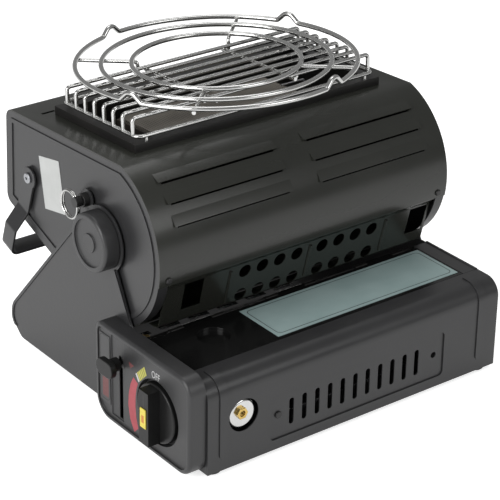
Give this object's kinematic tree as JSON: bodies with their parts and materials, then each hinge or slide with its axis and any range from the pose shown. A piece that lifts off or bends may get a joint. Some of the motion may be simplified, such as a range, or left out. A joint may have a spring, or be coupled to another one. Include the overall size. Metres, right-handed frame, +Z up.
{
  "type": "portable gas heater and cooker",
  "caption": "Portable two-in-one gas heater and stove: base box with cartridge bay and side controls, tilting burner drum with wire guard, pot trivet and carrying handle.",
  "frame": {"origin": "centre of the underside's bounding box, on the surface the rubber feet stand on", "axes": "+Z up, +X to the right along the front panel as seen from the front, -Y out of the front panel"},
  "size_m": [0.3288, 0.3035, 0.2531],
  "materials": {
    "black_paint": "semi-gloss black enamel",
    "chrome_wire": "bright chrome plating",
    "plated_steel": "zinc plated steel",
    "brass": "machined brass",
    "black_plastic": "fine grained black plastic",
    "pointer_plastic": "yellow plastic insert",
    "label_film": "bare silver grey film",
    "legend_film": "printed film, plain colour areas",
    "casting": "as-cast aluminium",
    "burner_iron": "heat-tinted cast iron",
    "ceramic": null,
    "rubber": "moulded rubber"
  },
  "bodies": {
    "base": {"side_plate_left": "black_paint", "side_plate_right": "black_paint", "front_panel": "black_paint", "floor_pan": "black_paint", "heat_shield": "black_paint", "lid_hinge_pin": "plated_steel", "control_fascia": "black_plastic", "legend_strip": "legend_film", "regulator_body": "casting", "regulator_cap": "chrome_wire", "regulator_nut": "brass", "gas_pipe": "plated_steel", "pipe_union": "brass", "piezo_igniter": "black_plastic", "cartridge_cradle": "plated_steel", "rubber_feet": "rubber", "base_screws": "plated_steel", "latch_bush": "plated_steel"},
    "knob": {"control_knob": "black_plastic", "knob_pointer": "pointer_plastic"},
    "lever": {"lock_lever": "black_plastic"},
    "lid": {"cartridge_lid": "black_paint", "lid_label": "label_film"},
    "latch": {"latch_pin": "plated_steel", "pull_ring": "chrome_wire"},
    "drum": {"end_cap_left": "black_paint", "end_cap_right": "black_paint", "drum_shell": "black_paint", "drum_bottom": "black_paint", "air_apron": "black_paint", "window_tray": "black_paint", "burner_body": "burner_iron", "ceramic_tile": "ceramic", "mixer_tube": "plated_steel", "gas_injector": "brass", "spark_electrode": "plated_steel", "wire_guard": "chrome_wire", "hub_left": "black_plastic", "hub_right": "black_plastic", "pivot_nuts": "plated_steel", "pivot_washers": "plated_steel", "drum_screws": "plated_steel", "handle_rivets": "plated_steel", "bare_sticker": "label_film"},
    "handle": {"carrying_handle": "black_paint"},
    "trivet": {"pot_trivet": "chrome_wire"}
  },
  "joints": [
    {"name": "drum_tilt", "type": "hinge", "parent": "base", "child": "drum", "pos_m": [0.0075, -0.01557, 0.1448], "axis": [1, 0, 0], "range_deg": [0, 90]},
    {"name": "lid_hinge", "type": "hinge", "parent": "base", "child": "lid", "pos_m": [0.0075, -0.06357, 0.0769], "axis": [-1, 0, 0], "range_deg": [0, 45]},
    {"name": "knob_turn", "type": "hinge", "parent": "base", "child": "knob", "pos_m": [-0.151, -0.10557, 0.041], "axis": [1, 0, 0], "range_deg": [0, 120]},
    {"name": "lever_slide", "type": "slide", "parent": "base", "child": "lever", "axis": [0, 0, -1], "range_m": [0, 0.044]},
    {"name": "latch_pull", "type": "slide", "parent": "base", "child": "latch", "axis": [-1, 0, 0], "range_m": [0, 0.005], "stiffness_N_per_m": 300, "springref_m": -0.001},
    {"name": "handle_swing", "type": "hinge", "parent": "drum", "child": "handle", "pos_m": [0.0075, 0.08921, 0.15597], "axis": [1, 0, 0], "range_deg": [0, 120]},
    {"name": "trivet_lift", "type": "slide", "parent": "drum", "child": "trivet", "axis": [0, 0.0558, 0.9984], "range_m": [0, 0.04]}
  ]
}
